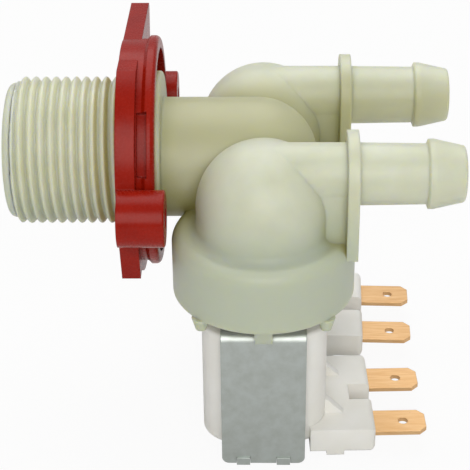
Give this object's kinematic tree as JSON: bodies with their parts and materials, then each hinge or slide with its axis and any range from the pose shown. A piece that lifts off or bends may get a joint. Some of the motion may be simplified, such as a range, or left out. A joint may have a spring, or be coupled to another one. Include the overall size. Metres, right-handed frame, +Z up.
{
  "type": "double solenoid water inlet valve",
  "caption": "Appliance water inlet valve: threaded inlet through a screw-on bracket, two domed valves side by side with hose spigots and hanging solenoid coils with flat tabs.",
  "frame": {"origin": "on the inlet axis, in the face of the bracket that lies against the appliance's panel", "axes": "+X along the inlet towards the hose spigots, +Y across to the rear valve, +Z up, away from the coils"},
  "size_m": [0.0797, 0.0628, 0.0697],
  "materials": {
    "nylon_body": "moulded, natural",
    "red_plastic": "moulded, satin",
    "filter_plastic": "moulded",
    "rubber": "matt",
    "white_plastic": "moulded",
    "coil_plastic": "moulded",
    "stainless_steel": "ground",
    "zinc_steel": "zinc plated",
    "copper_wire": "enamelled",
    "bronze_tab": "stamped"
  },
  "bodies": {
    "valve": {"valve_body": "nylon_body", "mounting_bracket": "red_plastic", "inlet_filter": "filter_plastic", "flow_regulator": "filter_plastic", "flow_washer": "rubber", "diaphragm_front": "rubber", "diaphragm_rear": "rubber", "guide_tube_front": "white_plastic", "guide_tube_rear": "white_plastic", "plunger_spring_front": "stainless_steel", "plunger_spring_rear": "stainless_steel", "bobbin_front": "white_plastic", "bobbin_rear": "white_plastic", "coil_winding_front": "copper_wire", "coil_winding_rear": "copper_wire", "pole_sleeve_upper_front": "zinc_steel", "pole_sleeve_upper_rear": "zinc_steel", "pole_sleeve_lower_front": "zinc_steel", "pole_sleeve_lower_rear": "zinc_steel", "coil_housing_front": "coil_plastic", "coil_housing_rear": "coil_plastic", "yoke_frame_front": "zinc_steel", "yoke_frame_rear": "zinc_steel", "yoke_base_plate_front": "zinc_steel", "yoke_base_plate_rear": "zinc_steel", "terminal_outer_front": "bronze_tab", "terminal_outer_rear": "bronze_tab", "terminal_inner_front": "bronze_tab", "terminal_inner_rear": "bronze_tab"},
    "armature_front": {"plunger_front": "stainless_steel", "plunger_seat_front": "rubber"},
    "armature_rear": {"plunger_rear": "stainless_steel", "plunger_seat_rear": "rubber"},
    "pilot_front": {"diaphragm_insert_front": "white_plastic"},
    "pilot_rear": {"diaphragm_insert_rear": "white_plastic"}
  },
  "joints": [
    {"name": "plunger_stroke_front", "type": "slide", "parent": "valve", "child": "armature_front", "axis": [0, 0, -1], "range_m": [0, 0.002], "stiffness_N_per_m": 150, "springref_m": -0.004, "deforming": ["plunger_spring_front"]},
    {"name": "plunger_stroke_rear", "type": "slide", "parent": "valve", "child": "armature_rear", "axis": [0, 0, -1], "range_m": [0, 0.002], "stiffness_N_per_m": 150, "springref_m": -0.004, "deforming": ["plunger_spring_rear"]},
    {"name": "diaphragm_lift_front", "type": "slide", "parent": "valve", "child": "pilot_front", "axis": [0, 0, -1], "range_m": [0, 0.0015], "deforming": ["diaphragm_front"]},
    {"name": "diaphragm_lift_rear", "type": "slide", "parent": "valve", "child": "pilot_rear", "axis": [0, 0, -1], "range_m": [0, 0.0015], "deforming": ["diaphragm_rear"]}
  ],
  "couplings": [
    {"joint": "diaphragm_lift_front", "follows": "plunger_stroke_front", "ratio": 0.75},
    {"joint": "diaphragm_lift_rear", "follows": "plunger_stroke_rear", "ratio": 0.75}
  ]
}
